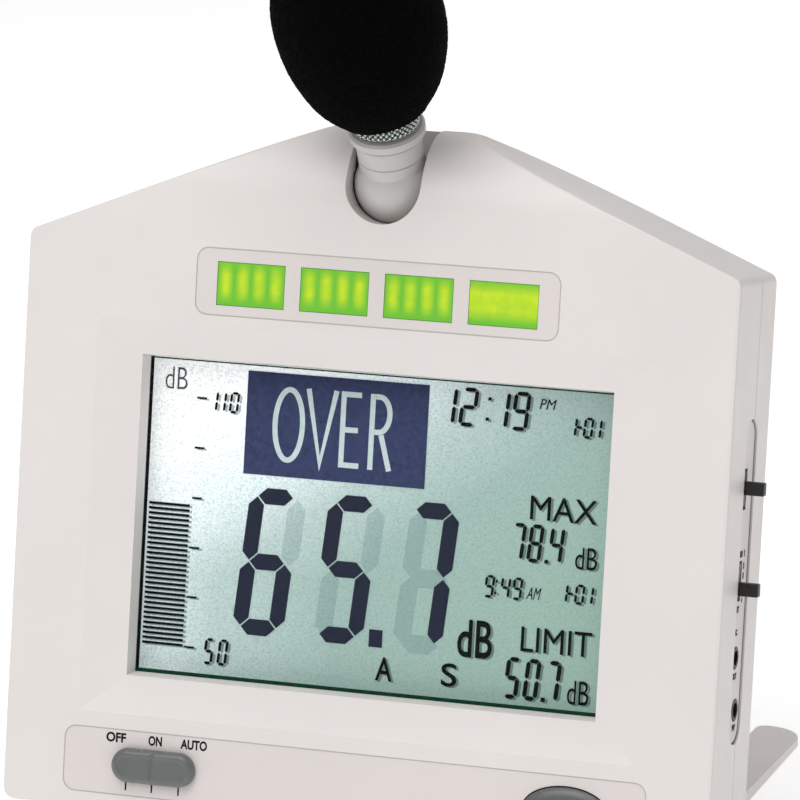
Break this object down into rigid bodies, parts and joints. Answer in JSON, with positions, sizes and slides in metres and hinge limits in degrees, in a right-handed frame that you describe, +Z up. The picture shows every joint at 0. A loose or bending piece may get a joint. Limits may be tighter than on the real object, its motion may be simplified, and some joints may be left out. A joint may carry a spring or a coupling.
{
  "type": "sound level meter",
  "caption": "Desk and wall sound level meter: gabled casing with large window display, alarm lamps, slide switch, tilting microphone with foam windscreen, fold-out legs.",
  "frame": {"origin": "centre of the flat on the casing's rear bottom edge, where it rests on the table", "axes": "+Z up, -Y towards the reader (the display side), +X to the reader's right"},
  "size_m": [0.1827, 0.1175, 0.2245],
  "materials": {
    "casing_plastic": "warm light grey ABS, fine satin texture",
    "label_film": "satin printed film in the casing's grey",
    "lamp_lens": "translucent green lens",
    "clear_pane": "clear flat pane",
    "lcd_glass": "reflective grey-green liquid crystal panel",
    "black_plastic": "black moulded plastic",
    "rubber": "matt black rubber pad",
    "grey_plastic": "mid grey satin switch cap",
    "dark_grey_plastic": "dark grey domed button",
    "circuit_board": "green glass-epoxy board",
    "light_guide": "white diffusing plastic",
    "elastomer": "soft striped contact strip",
    "mic_plastic": "light grey smooth plastic",
    "knurled_metal": "diamond-knurled ring on a turned barrel",
    "steel": "bright steel",
    "brass": "turned brass",
    "foam": "black open-cell foam",
    "cell_wrap": "plain wrapped dry cell"
  },
  "bodies": {
    "case": {"battery_1": "cell_wrap", "battery_2": "cell_wrap", "battery_3": "cell_wrap", "battery_4": "cell_wrap", "battery_contact_left": "steel", "battery_contact_right": "steel", "button_contact": "black_plastic", "case_screw_1": "steel", "case_screw_2": "steel", "case_screw_3": "steel", "case_screw_4": "steel", "control_board": "circuit_board", "control_label": "label_film", "display_backlight": "light_guide", "display_connector_strip": "elastomer", "display_gasket": "black_plastic", "display_pane": "clear_pane", "front_casing": "casing_plastic", "function_switch_body": "steel", "lamp_board": "circuit_board", "lamp_label": "label_film", "lamp_led_strip_1": "light_guide", "lamp_led_strip_2": "light_guide", "lamp_led_strip_3": "light_guide", "lamp_led_strip_4": "light_guide", "lamp_window_1": "lamp_lens", "lamp_window_2": "lamp_lens", "lamp_window_3": "lamp_lens", "lamp_window_4": "lamp_lens", "lcd_panel": "lcd_glass", "leg_pin_left": "steel", "leg_pin_right": "steel", "main_board": "circuit_board", "mic_bracket": "black_plastic", "mic_pin": "steel", "output_jack": "black_plastic", "power_jack": "black_plastic", "processor_chip": "black_plastic", "rear_casing": "casing_plastic", "side_board": "circuit_board", "side_panel": "label_film", "side_switch_body_1": "black_plastic", "side_switch_body_2": "black_plastic", "tripod_insert": "brass"},
    "microphone": {"mic_neck": "mic_plastic", "mic_collar": "mic_plastic", "mic_barrel": "knurled_metal", "mic_capsule": "steel"},
    "windscreen": {"windscreen": "foam"},
    "leg_left": {"leg_left": "casing_plastic", "leg_pad_left": "rubber"},
    "leg_right": {"leg_right": "casing_plastic", "leg_pad_right": "rubber"},
    "function_switch": {"function_switch_cap": "grey_plastic"},
    "light_button": {"light_button": "dark_grey_plastic"},
    "side_switch_1": {"side_switch_knob_1": "black_plastic"},
    "side_switch_2": {"side_switch_knob_2": "black_plastic"},
    "battery_door": {"battery_door": "casing_plastic"}
  },
  "joints": [
    {"name": "leg_left_fold", "type": "hinge", "parent": "case", "child": "leg_left", "pos_m": [-0.07445, -0.00035, 0.0029], "axis": [1, 0, 0], "range_deg": [0, 78]},
    {"name": "leg_right_fold", "type": "hinge", "parent": "case", "child": "leg_right", "pos_m": [0.07445, -0.00035, 0.0029], "axis": [1, 0, 0], "range_deg": [0, 78]},
    {"name": "mic_tilt", "type": "hinge", "parent": "case", "child": "microphone", "pos_m": [0, 0.01285, 0.15541], "axis": [1, 0, 0], "range_deg": [-34, 56]},
    {"name": "windscreen_pull", "type": "slide", "parent": "microphone", "child": "windscreen", "axis": [0, -0.3746, 0.9272], "range_m": [0, 0.05]},
    {"name": "function_switch_slide", "type": "slide", "parent": "case", "child": "function_switch", "axis": [1, 0, 0], "range_m": [-0.0068, 0.0068]},
    {"name": "light_button_press", "type": "slide", "parent": "case", "child": "light_button", "axis": [0, 0.9781, -0.2079], "range_m": [0, 0.001], "stiffness_N_per_m": 300, "springref_m": -0.001},
    {"name": "side_switch_1_slide", "type": "slide", "parent": "case", "child": "side_switch_1", "axis": [0, 0.2079, 0.9781], "range_m": [-0.0028, 0.002]},
    {"name": "side_switch_2_slide", "type": "slide", "parent": "case", "child": "side_switch_2", "axis": [0, 0.2079, 0.9781], "range_m": [-0.0006, 0.004]},
    {"name": "battery_door_pull", "type": "slide", "parent": "case", "child": "battery_door", "axis": [0, 0.9781, -0.2079], "range_m": [0, 0.03]}
  ]
}
